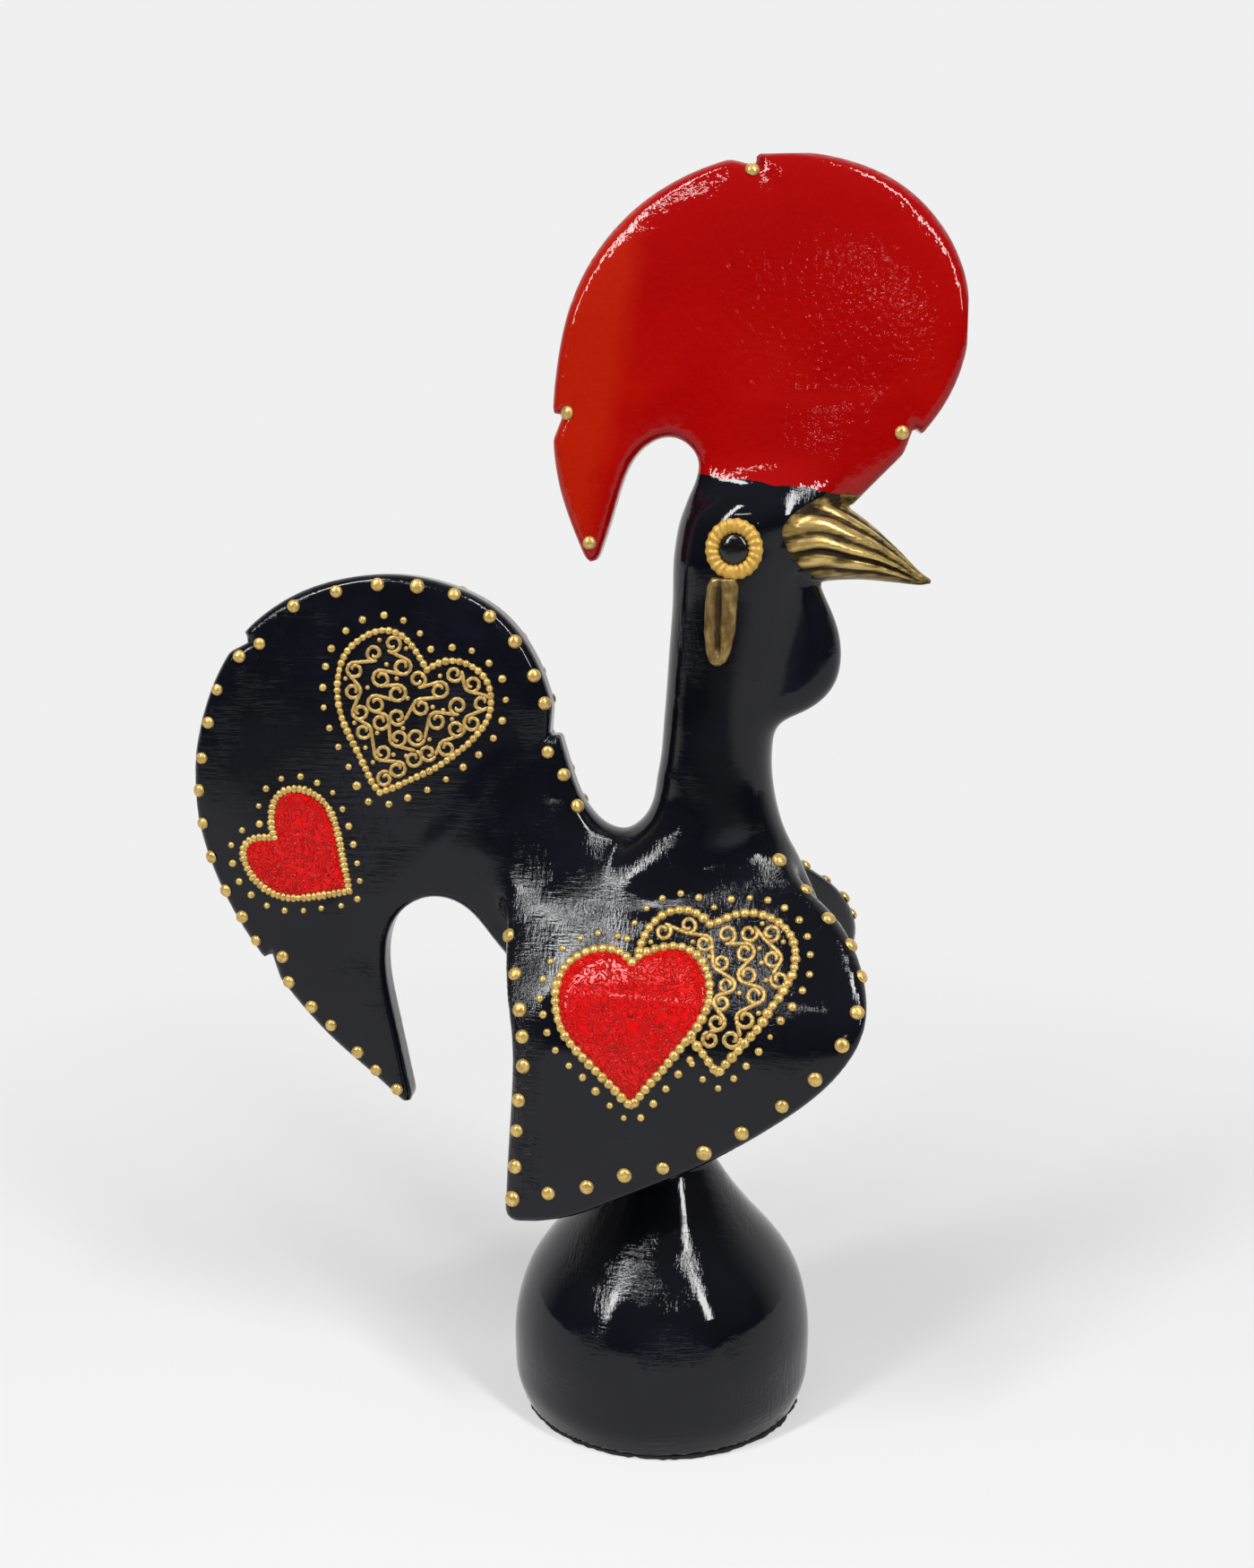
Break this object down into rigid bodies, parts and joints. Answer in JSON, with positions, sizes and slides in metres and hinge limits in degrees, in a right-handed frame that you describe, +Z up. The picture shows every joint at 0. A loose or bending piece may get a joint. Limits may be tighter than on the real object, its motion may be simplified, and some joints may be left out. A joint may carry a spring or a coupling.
{
  "type": "rooster of barcelos",
  "caption": "Painted pottery cockerel on a bell-shaped foot, with a tall red comb, sickle tail, flared wings and relief-painted hearts, dots and scrolls in gold.",
  "frame": {"origin": "where the axis of the round foot meets the table, on the underside of the felt pad", "axes": "+Z up, +X the way the beak points, +Y the bird's left side"},
  "size_m": [0.1692, 0.0776, 0.278],
  "materials": {
    "black_lacquer": "gloss black lacquer over fired clay",
    "red_enamel": "gloss red enamel over fired clay",
    "antique_gold": "metallic gold relief paint, rubbed back",
    "red_relief": "gloss red relief paint",
    "eye_gloss": "gloss black dome",
    "felt": "matte black felt"
  },
  "bodies": {
    "root": {"wattle": "black_lacquer", "base_bell": "black_lacquer", "tail": "black_lacquer", "body_right": "black_lacquer", "body_left": "black_lacquer", "wing_right": "black_lacquer", "wing_left": "black_lacquer", "comb": "red_enamel", "beak": "antique_gold", "eye_ring_right": "antique_gold", "eye_ring_left": "antique_gold", "ear_lobe_right": "antique_gold", "ear_lobe_left": "antique_gold", "comb_dots_right": "antique_gold", "comb_dots_left": "antique_gold", "tail_dots_right": "antique_gold", "tail_dots_left": "antique_gold", "wing_dots_right": "antique_gold", "wing_dots_left": "antique_gold", "tail_red_heart_border_right": "antique_gold", "tail_red_heart_border_left": "antique_gold", "tail_scroll_heart_right": "antique_gold", "tail_scroll_heart_left": "antique_gold", "wing_red_heart_border_right": "antique_gold", "wing_red_heart_border_left": "antique_gold", "wing_scroll_heart_right": "antique_gold", "wing_scroll_heart_left": "antique_gold", "tail_red_heart_right": "red_relief", "tail_red_heart_left": "red_relief", "wing_red_heart_right": "red_relief", "wing_red_heart_left": "red_relief", "eye_right": "eye_gloss", "eye_left": "eye_gloss", "felt_pad": "felt"}
  },
  "joints": []
}
